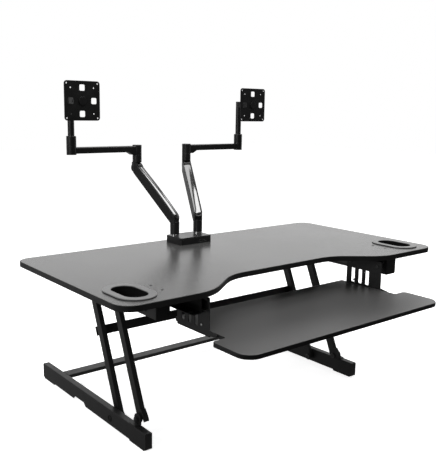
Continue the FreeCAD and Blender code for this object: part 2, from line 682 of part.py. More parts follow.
def slide_inner():
    """Moving slide member bolted to the bracket, with outturned edges behind the lips."""
    x = (BRACKET_X[1], HANGER_X[0] - 3)
    half = 14.0
    parts = [box((x[0], x[0] + 1.6), INNER_Y, (SLIDE_MID - half, SLIDE_MID + half))]
    for side in (-1, 1):
        edge = SLIDE_MID + side * half
        flange = sorted((edge, edge - side * 1.6))
        lip = sorted((edge - side * 1.6, edge + side * 4.5))
        parts += [box(x, INNER_Y, flange), box((x[1] - 1.6, x[1]), INNER_Y, lip)]
    holes = [rod((x[0] - 1, y, z), X, SLIDE_BOLT_R + RUN, 4) for y, z in SLIDE_BOLT_AT]
    return fuse(parts).cut(holes)


# ---------------------------------------------------------------- monitor arm


# Both hinges of a spring arm, measured from the hinge pin.


def arm_base():
    """Cast base with two upright spindles and bolts down through the worktop."""
    body = plate(ARM_BASE_X, ARM_BASE_Y, (TOP_HEIGHT, BASE_TOP), 7)
    hollow = plate((ARM_BASE_X[0] + 5, ARM_BASE_X[1] - 5), (ARM_BASE_Y[0] + 12, POST_Y - 16),
                   (TOP_HEIGHT - 1, BASE_TOP - 4), 4)
    pocket = box(PORT_X, (ARM_BASE_Y[0] - 1, ARM_BASE_Y[0] + 13), PORT_Z)
    spindles = [rod((x, POST_Y, BASE_TOP - 1), Z, SPINDLE_R, SPINDLE_TOP - BASE_TOP + 1)
                for x, _ in ARMS.values()]
    studs = [rod((x, y, TOP_UNDER - 9), Z, 3, TOP_THICK + 12) for x, y in arm_clamp_bolts_at()]
    return fuse([body.cut([hollow, pocket])] + spindles + studs)


def arm_base_cover():
    """Polished lid over the cast base."""
    lid = plate(ARM_BASE_X, ARM_BASE_Y, (BASE_TOP, COVER_TOP), 7)
    lid = filleted(lid, 1.6, at_height(COVER_TOP))
    return lid.cut([rod((x, POST_Y, BASE_TOP - 1), Z, SPINDLE_R + RUN, 10) for x, _ in ARMS.values()])


def port_panel():
    """Socket panel in the front of the base, with two flat sockets and a round one."""
    fit = 0.15
    y = (ARM_BASE_Y[0] + 0.6, ARM_BASE_Y[0] + 10)
    panel = box((PORT_X[0] + fit, PORT_X[1] - fit), y, (PORT_Z[0] + fit, PORT_Z[1] - fit))
    middle = (PORT_Z[0] + PORT_Z[1]) / 2
    cuts = [box((x, x + 12), (y[0] - 1, y[0] + 8), (middle - 2.4, middle + 2.4))
            for x in (PORT_X[0] + 2.5, PORT_X[0] + 17.5)]
    cuts.append(rod((PORT_X[1] - 3.5, y[0] - 1, middle), Y, 1.9, 9))
    return panel.cut(cuts)


def clamp_nuts():
    """Wide nuts that pull the arm base down from under the worktop."""
    nuts = []
    for x, y in arm_clamp_bolts_at():
        washer = rod((x, y, TOP_UNDER - 2), Z, 12, 2)
        nuts.append(fuse([washer, hexagon((x, y, TOP_UNDER - 8), Z, 6.5, 6)]).cut(
            rod((x, y, TOP_UNDER - 10), Z, 3 + RUN, 12)))
    return Part.makeCompound(nuts)


def post_collars():
    """Bright rings that each post turns on."""
    return Part.makeCompound([ring((x, POST_Y, COVER_TOP), Z, SPINDLE_R + RUN, POST_R, COLLAR)
                              for x, _ in ARMS.values()])


def arm_tip(side):
    """Centre of the upper arm hinge, as (x, y, z)."""
    x, heading = ARMS[side]
    turn = math.radians(heading)
    return (x + ARM_REACH * math.cos(turn), POST_Y + ARM_REACH * math.sin(turn), ELBOW_Z + ARM_LIFT)


def turned(shape, side, at):
    """Turn a piece drawn along +X to its arm's heading and stand it at a point."""
    placed = shape.copy()
    placed.rotate(V(0, 0, 0), Z, ARMS[side][1])
    placed.translate(V(*at))
    return placed


def barrel(radius):
    """Hinge barrel about the Y axis at the origin, with its cross pin."""
    return [rod((0, -TONGUE_HALF, 0), Y, radius, 2 * TONGUE_HALF),
            rod((0, -PIN_HALF, 0), Y, PIN_R, 2 * PIN_HALF)]


def arm_post(side):
    """Post that swivels on the spindle and carries the elbow barrel between the arm's cheeks."""
    low = COVER_TOP + COLLAR + 0.2 - ELBOW_Z
    sleeve = filleted(rod((0, 0, low), Z, POST_R, -STANDOFF - low), 1.0, at_height(low))
    between = (-TONGUE_HALF, TONGUE_HALF)
    shoulder = rod((0, 0, -STANDOFF - 1), Z, POST_R, 7).common(box((-POST_R, POST_R), between, (-20, -11)))
    stem = box((-7, 7), between, (-STANDOFF - 1, 0))
    bore = rod((0, 0, low - 1), Z, SPINDLE_R + TURN, SPINDLE_TOP + 0.8 - ELBOW_Z - low + 1)
    body = fuse([sleeve, shoulder, stem] + barrel(ELBOW_BARREL)).cut(bore)
    return turned(body, side, (ARMS[side][0], POST_Y, ELBOW_Z))


def raised(shape):
    """Lift a piece drawn along +X to the arm's rest angle."""
    placed = shape.copy()
    placed.rotate(V(0, 0, 0), Y, -math.degrees(ARM_RISE))
    return placed


def arm_plan(radius):
    """Upright prism with rounded ends that both hinge axes stand in."""
    low, tall = -60, 320
    return fuse([box((0, ARM_REACH), (-radius, radius), (low, low + tall)),
                 rod((0, 0, low), Z, radius, tall), rod((ARM_REACH, 0, low), Z, radius, tall)])


def arm_shell(side):
    """Inverted U-shaped casting between the two hinges, rounded in plan at both ends."""
    wide = (-POST_R, POST_R)
    inner = (CHEEK - POST_R, POST_R - CHEEK)
    corner = 19.0
    bar = box((0, ARM_LENGTH), wide, (ARM_LOW, ARM_HIGH))
    ends = [rod((t, -POST_R, 0), Y, SWEEP_R, 2 * POST_R) for t in (0, ARM_LENGTH)]
    ends += [box((-corner, 0), wide, (6, ARM_HIGH)),
             box((ARM_LENGTH, ARM_LENGTH + corner), wide, (ARM_LOW, -6))]
    outer = fuse([bar] + ends).common(box((-corner, ARM_LENGTH + corner), wide, (ARM_LOW, ARM_HIGH)))
    roof = ARM_HIGH - CHEEK
    inside = box((-25, ARM_LENGTH + 25), inner, (ARM_LOW - 1, roof))
    neck_way = rod((ARM_LENGTH, inner[0], 0), Y, NECK_BARREL + 0.6, inner[1] - inner[0])
    beyond = box((ARM_LENGTH, ARM_LENGTH + 25), inner, (ARM_LOW - 1, ARM_HIGH + 1))
    pins = [rod((t, -POST_R - 1, 0), Y, PIN_R + TURN, 2 * POST_R + 2) for t in (0, ARM_LENGTH)]
    spring = rod((24, 0, -3), X, 8, ARM_LENGTH - 70)
    rib = box((20, 26), inner, (-11, roof))
    shell = fuse([outer.cut([inside, neck_way, beyond]), spring, rib]).cut(pins)
    shell = raised(shell).common(arm_plan(POST_R))
    return turned(shell, side, (ARMS[side][0], POST_Y, ELBOW_Z))


def arm_cover(side):
    """Polished strip along the top of the arm, round at the elbow and cut off at the neck."""
    half = 12.5
    low = ARM_HIGH + 0.1
    strip = plate((-6, ARM_LENGTH + 20), (-half, half), (low, COVER_HIGH), half - 0.01)
    strip = filleted(strip, 1.6, at_height(COVER_HIGH))
    neck_way = rod((ARM_LENGTH, -half - 1, 0), Y, NECK_BARREL + 0.6, 2 * half + 2)
    beyond = box((ARM_LENGTH - 4, ARM_LENGTH + 40), (-half - 1, half + 1), (0, 30))
    strip = raised(strip.cut([neck_way, beyond])).common(arm_plan(POST_R))
    return turned(strip, side, (ARMS[side][0], POST_Y, ELBOW_Z))


def arm_neck(side):
    """Upright neck that stays level; its top is the spindle that the extension swings on."""
    between = (-TONGUE_HALF, TONGUE_HALF)
    body = [box((-3.5, 13), between, (8, STANDOFF + 1)),
            rod((0, 0, STANDOFF), Z, POST_R, NECK_TOP - STANDOFF),
            rod((0, 0, NECK_TOP - 1), Z, HEAD_SPINDLE_R, 28)]
    return turned(fuse(body + barrel(NECK_BARREL)), side, arm_tip(side))




def outward(side):
    return -1 if side == "left" else 1


def arm_extension(side):
    """Level link from the neck out to the monitor's centre, with the pan spindle at its end."""
    hub = rod((0, 0, NECK_TOP + 0.2), Z, POST_R, HUB_TALL - 0.2)
    gusset = side_profile([(0, NECK_TOP + 0.2, 0), (22, NECK_TOP + 0.2, 6), (46, NECK_TOP + 14, 8),
                           (60, NECK_TOP + 14, 0), (60, NECK_TOP + 20, 0), (0, NECK_TOP + 20, 0)], (-11, 11))
    gusset.rotate(V(0, 0, 0), Z, -90)
    bar = box((0, EXTENSION), (-11, 11), (NECK_TOP + 9, NECK_TOP + 29))
    bar = filleted(bar, 4, lambda e: e.BoundBox.XLength > 100)
    end = rod((EXTENSION, 0, ARM_END_LOW), Z, POST_R, ARM_END_TOP - ARM_END_LOW)
    spindle = rod((EXTENSION, 0, ARM_END_TOP - 1), Z, HEAD_SPINDLE_R, 27)
    bore = rod((0, 0, NECK_TOP - 1), Z, HEAD_SPINDLE_R + TURN, 28.5)
    body = fuse([hub, gusset, bar, end, spindle]).cut(bore)
    if side == "left":
        body = mirror(body)
    body.translate(V(*arm_tip(side)))
    return body


def head_at(side):
    """Foot of the pan axis, below the monitor plate."""
    x, y, z = arm_tip(side)
    return V(x + outward(side) * EXTENSION, y, z)


def pan_head(side):
    """Sleeve on the pan spindle, riser and forward tilt tongue."""
    sleeve_top = PAN_LOW + SLEEVE_TALL
    sleeve = filleted(rod((0, 0, PAN_LOW), Z, POST_R, SLEEVE_TALL), 1.5, at_height(sleeve_top))
    riser_top = TILT_UP + 12
    riser = rod((0, 0, sleeve_top - 1), Z, RISER_R, riser_top - sleeve_top + 1)
    riser = filleted(riser, 1.5, at_height(riser_top))
    bore = rod((0, 0, PAN_LOW - 1), Z, HEAD_SPINDLE_R + TURN, 28.5)
    tongue = box((-8, 8), (-TILT_OUT, 0), (TILT_UP - 9, TILT_UP + 9))
    eye = rod((-8, -TILT_OUT, TILT_UP), X, 14, 16)
    cross = rod((-16, -TILT_OUT, TILT_UP), X, TILT_PIN_R, 32)
    body = fuse([sleeve, riser, tongue, eye, cross]).cut(bore)
    body.translate(head_at(side))
    return body


def tilt_knuckle(side):
    """Fork on the tilt tongue that ends in the plate's turning spindle."""
    y = -TILT_OUT
    cheeks = []
    for x in (-15.0, 8.3):
        cheeks += [rod((x, y, TILT_UP), X, 14, 6.7),
                   box((x, x + 6.7), (y - 26, y), (TILT_UP - 14, TILT_UP + 14))]
    web = box((-15, 15), (y - 26, y - 16), (TILT_UP - 14, TILT_UP + 14))
    spindle = rod((0, y - 38, TILT_UP), Y, TURN_PIN_R, 14)
    cap = rod((0, y - 40.4, TILT_UP), Y, 12, 3)
    hole = rod((-16, y, TILT_UP), X, TILT_PIN_R + TURN, 32)
    body = fuse(cheeks + [web, spindle, cap]).cut(hole)
    body.translate(head_at(side))
    return body


def monitor_plate(side):
    """Square mounting plate with hole squares at 75 mm and 100 mm."""
    half = PLATE_SIZE / 2
    sheet = plate((-half, half), (-half, half), (0, 2.5), 9)
    sheet = fuse([sheet, rod((0, 0, 2.4), Z, 17, 7.8)])
    holes = [rod((a * s, b * s, -1), Z, 2.25, 5) for s in (37.5, 50.0) for a in (-1, 1) for b in (-1, 1)]
    windows = [plate((a - 9, a + 9), (b - 9, b + 9), (-1, 4), 4)
               for a, b in ((0, 38), (0, -38), (38, 0), (-38, 0))]
    sheet = sheet.cut(holes + windows + [rod((0, 0, -1), Z, TURN_PIN_R + TURN, 14)])
    sheet.rotate(V(0, 0, 0), X, -90)
    sheet.translate(head_at(side) + V(0, -TILT_OUT - 37.2, TILT_UP))
    return sheet


# ---------------------------------------------------------------- all pieces

def base_pieces():
    pivots = [(REAR_LOW, FOOT_WALL), (FRONT_LOW, 4.0)]
    bolts = [s for pivot, wall in pivots for s in pivot_bolt(pivot, wall)]
    right = foot()
    return {
        "foot_left": mirror(right),
        "foot_right": right,
        "foot_end_caps": both([foot_cap(True), foot_cap(False)]),
        "rubber_feet": both([rubber_pad((-120.0, -46.0)), rubber_pad((412.0, 486.0))]),
        "base_crossbar": crossbar(),
        "pivot_lugs": pair(pivot_lug()),
        "lower_pivot_bolts": both(bolts),
        "lower_pivot_bushes": both([pivot_bush(REAR_LOW), pivot_bush(FRONT_LOW)]),
    }


def linkage_pieces():
    pieces = {"upper_crossbar": upper_crossbar()}
    for name, shape in (("rear_link", rear_link()), ("front_link", front_link()), ("lift_crank", crank())):
        pieces[name + "_left"] = mirror(shape)
        pieces[name + "_right"] = shape
    return pieces


def worktop_pieces():
    rail = side_rail()
    caps = [rail_cap(RAIL_Y[1], 1), mirror(rail_cap(RAIL_Y[1], 1)), mirror(rail_cap(RAIL_Y[0], -1))]
    rods = gas_rod()
    return {
        "worktop_board": worktop_board(),
        "worktop_edge_band": edge_band(),
        "grommets": pair(grommet()),
        "side_rail_left": mirror(rail),
        "side_rail_right": rail,
        "rail_end_caps": Part.makeCompound(caps),
        "rail_pivot_bolts": both(pivot_bolt(REAR_HIGH, RAIL_WALL) + [spring_pin()]),
        "rail_bushes": both([pivot_bush(REAR_HIGH), crank_bush()]),
        "worktop_screws": both(wood_screws()),
        "slide_hangers": pair(slide_hanger()),
        "slide_outer_members": pair(slide_outer()),
        "gas_spring_cylinders": pair(gas_cylinder()),
        "gas_rod_left": mirror(rods),
        "gas_rod_right": rods,
        "lever_housing": lever_housing(),
        "lever_bracket": lever_bracket(),
        "lever_spring": lever_spring(),
        "release_lever": release_lever(),
        "release_cable": release_cable(),
    }


def tray_pieces():
    bracket = tray_bracket()
    return {
        "tray_board": tray_board(),
        "tray_bracket_left": mirror(bracket),
        "tray_bracket_right": bracket,
        "slide_inner_members": pair(slide_inner()),
        "tray_fasteners": both(tray_fasteners()),
    }


def arm_pieces():
    pieces = {
        "arm_base": arm_base(),
        "arm_base_cover": arm_base_cover(),
        "arm_clamp_nuts": clamp_nuts(),
        "port_panel": port_panel(),
        "post_collars": post_collars(),
    }
    for name, make in (("arm_post", arm_post), ("arm_shell", arm_shell), ("arm_cover", arm_cover),
                       ("arm_neck", arm_neck), ("arm_extension", arm_extension), ("pan_head", pan_head),
                       ("tilt_knuckle", tilt_knuckle), ("monitor_plate", monitor_plate)):
        for side in ARMS:
            pieces[name + "_" + side] = make(side)
    return pieces


def main():
    os.makedirs("parts", exist_ok=True)
    for group in (base_pieces(), linkage_pieces(), worktop_pieces(), tray_pieces(), arm_pieces()):
        for node, shape in group.items():
            shape.translate(V(0, -FOOTPRINT_MIDDLE, 0))
            shape.exportStep("parts/" + node + ".step")


main()
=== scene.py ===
import json
import math

import bmesh
import bpy
from mathutils import Matrix, Vector

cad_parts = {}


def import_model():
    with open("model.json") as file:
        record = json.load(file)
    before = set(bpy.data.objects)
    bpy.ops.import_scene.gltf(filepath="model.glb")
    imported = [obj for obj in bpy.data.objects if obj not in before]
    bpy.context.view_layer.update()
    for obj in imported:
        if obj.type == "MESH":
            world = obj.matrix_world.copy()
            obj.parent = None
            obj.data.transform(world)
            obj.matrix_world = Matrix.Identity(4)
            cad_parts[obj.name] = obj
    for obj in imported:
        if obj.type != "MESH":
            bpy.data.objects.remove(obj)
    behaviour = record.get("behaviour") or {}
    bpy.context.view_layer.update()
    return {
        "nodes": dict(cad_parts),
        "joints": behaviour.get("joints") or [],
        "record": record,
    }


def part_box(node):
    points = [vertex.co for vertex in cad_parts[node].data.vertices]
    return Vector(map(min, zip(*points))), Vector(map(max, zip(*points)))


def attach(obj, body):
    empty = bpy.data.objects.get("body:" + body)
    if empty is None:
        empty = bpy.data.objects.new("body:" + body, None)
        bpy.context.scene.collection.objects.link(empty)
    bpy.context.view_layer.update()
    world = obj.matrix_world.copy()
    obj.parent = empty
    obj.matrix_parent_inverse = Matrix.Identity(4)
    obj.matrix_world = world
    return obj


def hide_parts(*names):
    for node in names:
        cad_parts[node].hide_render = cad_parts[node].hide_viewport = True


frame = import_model()
NODES = frame["nodes"]
JOINTS = {j["name"]: j for j in frame["joints"]}

MM = 0.001
LINK_HALF = 12 * MM  # from a link's middle to its front or rear face
CROSSBAR_EDGES = (233 * MM, 260 * MM)  # along a rear link from its lower pivot
RAIL_BOLT_X = 428 * MM
RAIL_BOLT_Y = (-166 * MM, -215 * MM)  # from the worktop's middle
BRACKET_SCREW_Y = (-173 * MM, -246 * MM)  # from the worktop's middle
BRACKET_SCREW_Z = 362 * MM
VIEW_YAW = math.radians(-39.14)
VIEW_PITCH = math.radians(-9.87)
VIEW_ROLL = math.radians(0.92)
VIEW_FROM = (-1.29055, -1.49515, 0.87819)
VIEW_LENS = 52.46


# ---------------------------------------------------------------- materials

class Nodes:
    """A node tree that is built with short calls."""

    def __init__(self, tree):
        self.tree = tree

    def node(self, kind, **values):
        made = self.tree.nodes.new(kind)
        for key, value in values.items():
            if key in made.inputs:
                self.put(made.inputs[key], value)
            else:
                setattr(made, key, value)
        return made

    def put(self, socket, value):
        if isinstance(value, bpy.types.NodeSocket):
            self.tree.links.new(value, socket)
        else:
            socket.default_value = value

    def ramp(self, value, low, high, out_low, out_high):
        """Map a value range to another, clamped."""
        mapped = self.node("ShaderNodeMapRange", clamp=True)
        for key, number in zip(("Value", "From Min", "From Max", "To Min", "To Max"),
                               (value, low, high, out_low, out_high)):
            self.put(mapped.inputs[key], number)
        return mapped.outputs["Result"]

    def add(self, a, b, share=1.0):
        """a + b * share."""
        made = self.node("ShaderNodeMath", operation="MULTIPLY_ADD")
        for socket, value in zip(made.inputs, (b, share, a)):
            self.put(socket, value)
        return made.outputs[0]

    def choose(self, factor, no, yes, output):
        """Send one of two shaders to the output."""
        chosen = self.node("ShaderNodeMixShader")
        for socket, value in zip(chosen.inputs, (factor, no, yes)):
            self.put(socket, value)
        self.put(output.inputs["Surface"], chosen.outputs[0])


class Shader(Nodes):
    """A surface material."""

    def __init__(self, name):
        self.material = bpy.data.materials.new(name)
        self.material.use_nodes = True
        super().__init__(self.material.node_tree)
        self.bsdf = self.tree.nodes["Principled BSDF"]
        self.where = self.node("ShaderNodeTexCoord").outputs["Object"]

    def noise(self, scale, detail=3.0, rough=0.55, stretch=(1, 1, 1)):
        """Noise with scale features per metre."""
        mapping = self.node("ShaderNodeMapping", Vector=self.where, Scale=stretch)
        return self.node("ShaderNodeTexNoise", Vector=mapping.outputs[0], Scale=scale, Detail=detail,
                         Roughness=rough).outputs["Fac"]

    def cells(self, scale):
        return self.node("ShaderNodeTexVoronoi", Vector=self.where, Scale=scale).outputs["Distance"]

    def mix(self, factor, a, b):
        mixed = self.node("ShaderNodeMix", data_type="RGBA")
        self.put(mixed.inputs[0], factor)
        self.put(mixed.inputs[6], a)
        self.put(mixed.inputs[7], b)
        return mixed.outputs[2]

    def edges(self, radius):
        """1 along convex edges, 0 elsewhere, from how far a bevelled normal leans."""
        bevel = self.node("ShaderNodeBevel", samples=4, Radius=radius)
        geometry = self.node("ShaderNodeNewGeometry")
        dot = self.node("ShaderNodeVectorMath", operation="DOT_PRODUCT")
        self.put(dot.inputs[0], bevel.outputs[0])
        self.put(dot.inputs[1], geometry.outputs["Normal"])
        return self.ramp(dot.outputs["Value"], 0.88, 0.98, 1.0, 0.0)

    def finish(self, color, rough, height=None, lift=0.0, metal=0.0, soften=0.0, **extra):
        """Connect the surface; lift is the bump's depth in metres, soften an edge radius in metres."""
        self.put(self.bsdf.inputs["Base Color"], color)
        self.put(self.bsdf.inputs["Roughness"], rough)
        self.put(self.bsdf.inputs["Metallic"], metal)
        for key, value in extra.items():
            self.put(self.bsdf.inputs[key], value)
        normal = None
        if soften:
            normal = self.node("ShaderNodeBevel", samples=6, Radius=soften).outputs[0]
        if height is not None:
            bump = self.node("ShaderNodeBump", Distance=lift, Height=height)
            if normal:
                self.put(bump.inputs["Normal"], normal)
            normal = bump.outputs[0]
        if normal:
            self.put(self.bsdf.inputs["Normal"], normal)
        return self.material


def grey(value, warm=0.0):
    return (value * (1 + warm), value, value * (1 - warm), 1.0)


def powder_coat(name, tone, rough):
    """Satin powder coat: fine orange peel, faint mottling, and a painted highlight that lightens convex
    edges.
    """
    s = Shader(name)
    peel = s.noise(900, 2.0)
    mottle = s.noise(35, 4.0)
    body = s.mix(s.ramp(mottle, 0.35, 0.65, 0.0, 1.0), grey(tone * 0.85), grey(tone * 1.2))
    # painted highlight: convex edges are lightened to 2.6 times the tone
    color = s.mix(s.edges(0.0012), body, grey(tone * 2.6))
    spots = s.ramp(mottle, 0.3, 0.7, rough - 0.05, rough + 0.07)
    return s.finish(color, spots, peel, 0.00012, soften=0.0009)


def laminate(name, tone, rough, grain=1600):
    """Low-pressure laminate: a fine pressed texture, a slightly uneven sheen, and faces that don't point up
    painted near-black as shade.
    """
    s = Shader(name)
    normal = s.node("ShaderNodeNewGeometry").outputs["Normal"]
    facing = s.node("ShaderNodeSeparateXYZ", Vector=normal).outputs["Z"]
    flat = s.ramp(facing, 0.5, 0.8, 0.0, 1.0)
    fine = s.noise(grain, 3.0, 0.6)
    pores = s.cells(grain * 0.35)
    cloud = s.noise(3.2, 2.0, 0.5)
    color = s.mix(s.ramp(fine, 0.35, 0.7, 0.0, 1.0), grey(tone * 0.8, 0.01), grey(tone * 1.25, 0.01))
    # painted shade: side and under faces are painted near-black, only faces pointing up keep the laminate
    # tone
    color = s.mix(flat, grey(0.006), color)
    height = s.add(fine, pores, 0.5)
    sheen = s.ramp(cloud, 0.3, 0.7, rough - 0.015, rough + 0.015)
    return s.finish(color, sheen, height, 0.00008, soften=0.0006)


def plastic(name, tone, rough, grain=1100, depth=0.00009, painted_edge_highlight=0.01):
    """Moulded plastic with a spark-eroded texture; painted_edge_highlight is how much the painted highlight
    lightens its edges.
    """
    s = Shader(name)
    grit = s.cells(grain)
    tone_shift = s.noise(60, 3.0)
    color = s.mix(s.ramp(tone_shift, 0.3, 0.7, 0.0, 1.0), grey(tone * 0.88), grey(tone * 1.12))
    # painted highlight: convex edges are lightened above the plastic's tone
    color = s.mix(s.edges(0.0009), color, grey(tone * 1.7 + painted_edge_highlight))
    sheen = s.ramp(s.noise(25, 3.0), 0.3, 0.7, rough - 0.05, rough + 0.05)
    return s.finish(color, sheen, grit, depth, soften=0.0007)


def grommet_plastic(name):
    """Grey moulding; the liner and the lower side wall of the rim are painted near-black as shade, and its
    edges carry a painted highlight.
    """
    s = Shader(name)
    height = s.node("ShaderNodeSeparateXYZ", Vector=s.where).outputs["Z"]
    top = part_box("worktop_board")[1].z
    rim = s.ramp(height, top + 0.001, top + 0.0022, 0.0, 1.0)
    grit = s.cells(1100)
    # painted shade: near-black below 1 mm above the worktop, inside the liner and under the rim's edge
    color = s.mix(rim, grey(0.004), s.mix(s.ramp(grit, 0.1, 0.6, 0.0, 1.0), grey(0.15), grey(0.1)))
    # painted highlight: the rim's edges are lightened to 0.4, edges below it to 0.02
    color = s.mix(s.edges(0.0012), color, s.mix(rim, grey(0.02), grey(0.4)))
    return s.finish(color, s.ramp(rim, 0.0, 1.0, 0.8, 0.3), grit, 0.00006, soften=0.0009,
                    **{"Specular IOR Level": s.ramp(rim, 0.0, 1.0, 0.1, 0.5)})


def rubber(name):
    s = Shader(name)
    dust = s.ramp(s.noise(120, 5.0, 0.7), 0.5, 0.75, 0.0, 0.35)
    color = s.mix(dust, grey(0.012), grey(0.05, 0.05))
    return s.finish(color, 0.82, s.noise(700, 3.0), 0.0001, soften=0.0008)


def plated(name, tone, rough, stretch=(1, 1, 1)):
    """Plated or brushed steel with fine lines along one axis."""
    s = Shader(name)
    lines = s.noise(260, 4.0, 0.6, stretch)
    stain = s.noise(40, 4.0)
    color = s.mix(s.ramp(stain, 0.35, 0.7, 0.0, 1.0), grey(tone), grey(tone * 0.78))
    sheen = s.ramp(lines, 0.3, 0.7, rough - 0.06, rough + 0.1)
    return s.finish(color, sheen, lines, 0.00003, metal=1.0, soften=0.0004)


def polished_dark(name, tone):
    """Dark metallic gloss with a clear coat and faint hairlines."""
    s = Shader(name)
    hair = s.noise(260, 3.0, 0.6, (1.0, 1.0, 0.15))
    color = s.mix(s.ramp(hair, 0.3, 0.7, 0.0, 1.0), grey(tone * 1.05), grey(tone * 0.93))
    return s.finish(color, s.ramp(hair, 0.3, 0.7, 0.07, 0.1), hair, 0.000002, metal=0.9, soften=0.0008,
                    **{"Coat Weight": 0.6, "Coat Roughness": 0.05})


MATERIALS = {
    "powder_coat": powder_coat("powder_coat_black", 0.014, 0.44),
    "worktop_laminate": laminate("worktop_laminate_black", 0.06, 0.24),
    # the edge band carries a stronger painted highlight along its edges
    "edge_plastic": plastic("edge_band_black", 0.004, 0.5, 700, 0.00004, painted_edge_highlight=0.1),
    "tray_laminate": laminate("tray_laminate_black", 0.06, 0.34, 900),
    "grommet_plastic": grommet_plastic("grommet_grey"),
    "black_plastic": plastic("moulded_black", 0.016, 0.45),
    "rubber": rubber("rubber_black"),
    "nylon": plastic("nylon_black", 0.02, 0.4),
    "black_zinc": plated("black_zinc", 0.12, 0.45),
    "zinc_steel": plated("zinc_steel", 0.6, 0.3, (1, 0.1, 1)),
    "spring_steel": plated("spring_steel", 0.4, 0.28),
    "gas_spring_paint": plastic("gas_spring_gloss", 0.012, 0.18, 300, 0.00001),
    "rod_chrome": plated("hard_chrome", 0.82, 0.12, (1, 0.1, 1)),
    "cable_sheath": plastic("cable_vinyl", 0.014, 0.5),
    "arm_casting": powder_coat("arm_paint_black", 0.006, 0.36),
    "polished_cover": polished_dark("polished_cover", 0.14),
}


BASE_LID = plastic("base_lid_gloss", 0.008, 0.3, 1500, 0.00002)


def paint_frame():
    """Give every CAD piece the material of its slot; the lid of the arm base is a darker moulding."""
    for entry in frame["record"]["subparts"]:
        mesh = NODES[entry["node"]].data
        mesh.materials.clear()
        lid = entry["node"] == "arm_base_cover"
        mesh.materials.append(BASE_LID if lid else MATERIALS[entry["material_slot"]])
        for polygon in mesh.polygons:
            polygon.material_index = 0


# ---------------------------------------------------------------- pieces made here

def low(node):
    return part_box(node)[0]


def high(node):
    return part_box(node)[1]


def worktop_middle():
    return (low("worktop_board").y + high("worktop_board").y) / 2


def joint_at(name):
    return Vector(JOINTS[name]["pos_m"])


def joint_axis(name):
    return Vector(JOINTS[name]["axis"]).normalized()


def piece(name, bm, body, slot, smooth=40):
    """Turn a bmesh into a piece that rides on a body and takes a slot's material."""
    bmesh.ops.remove_doubles(bm, verts=bm.verts, dist=1e-6)
    bmesh.ops.recalc_face_normals(bm, faces=bm.faces)
    mesh = bpy.data.meshes.new(name)
    bm.to_mesh(mesh)
    bm.free()
    mesh.materials.append(MATERIALS[slot])
    made = bpy.data.objects.new(name, mesh)
    bpy.context.scene.collection.objects.link(made)
    mesh.shade_smooth()
    mesh.set_sharp_from_angle(angle=math.radians(smooth))
    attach(made, body)
    return made


def skin(bm, rings):
    """Join rings of points into a tube with capped ends."""
    rows = [[bm.verts.new(p) for p in ring] for ring in rings]
    count = len(rows[0])
    for a, b in zip(rows, rows[1:]):
        for i in range(count):
            j = (i + 1) % count
            bm.faces.new((a[i], a[j], b[j], b[i]))
    bm.faces.new(rows[0])
    bm.faces.new(rows[-1][::-1])


def across(direction):
    """Two unit vectors square to a direction."""
    direction = direction.normalized()
    helper = Vector((0, 0, 1)) if abs(direction.z) < 0.9 else Vector((1, 0, 0))
    u = direction.cross(helper).normalized()
    return u, direction.cross(u).normalized()


def turned_part(bm, start, axis, profile, sides):
    """A lathe form: profile holds (distance along axis, radius)."""
    axis = Vector(axis).normalized()
    u, v = across(axis)
    rings = []
    for reach, radius in profile:
        centre = Vector(start) + axis * reach
        rings.append([centre + (u * math.cos(a) + v * math.sin(a)) * radius
                      for a in (2 * math.pi * i / sides for i in range(sides))])
    skin(bm, rings)


def bead(bm, start, end):
    """A weld bead: overlapping scallops along a straight joint."""
    radius, pitch = 1.6 * MM, 2.2 * MM
    start, end = Vector(start), Vector(end)
    run = (end - start).length
    u, v = across(end - start)
    steps = max(8, int(run / pitch) * 4)
    rings = []
    for i in range(steps + 1):
        t = i / steps
        ripple = 0.82 + 0.18 * abs(math.sin(math.pi * t * run / pitch))
        taper = min(1.0, 6 * t + 0.25, 6 * (1 - t) + 0.25)
        r = radius * ripple * taper
        centre = start.lerp(end, t)
        rings.append([centre + (u * math.cos(a) + v * math.sin(a)) * r
                      for a in (2 * math.pi * k / 8 for k in range(8))])
    skin(bm, rings)


def base_welds():
    """Beads where the crossbar meets the feet and round the pivot lugs."""
    bm = bmesh.new()
    bar_low, bar_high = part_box("base_crossbar")
    lug_low, lug_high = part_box("pivot_lugs")
    foot_top = high("foot_right").z
    for side in (-1, 1):
        x = side * bar_high.x
        for y in (bar_low.y, bar_high.y):
            bead(bm, (x, y, bar_low.z), (x, y, bar_high.z - 0.5 * MM))
        bead(bm, (x, bar_low.y, bar_low.z), (x, bar_high.y, bar_low.z))
        outer = side * (lug_high.x - 0.2 * MM)
        inner = side * low("foot_right").x
        for y in (lug_low.y, lug_high.y):
            bead(bm, (inner + side * 5 * MM, y, foot_top), (outer, y, foot_top))
        bead(bm, (outer, lug_low.y + 2 * MM, foot_top), (outer, lug_high.y - 2 * MM, foot_top))
    piece("base_weld_beads", bm, "base", "powder_coat")


def linkage_welds():
    """Beads where the upper crossbar lies across the rear links."""
    bm = bmesh.new()
    along = (joint_at("worktop_level") - joint_at("lift")).normalized()
    rearward = Vector((0, along.z, -along.y))
    link_low, link_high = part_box("rear_link_right")
    pivot = joint_at("lift")
    for reach in CROSSBAR_EDGES:
        middle = pivot + along * reach + rearward * LINK_HALF
        for side in (-1, 1):
            bead(bm, (side * (link_low.x + MM), middle.y, middle.z),
                 (side * (link_high.x - MM), middle.y, middle.z))
    piece("crossbar_weld_beads", bm, "rear_lift_frame", "powder_coat")


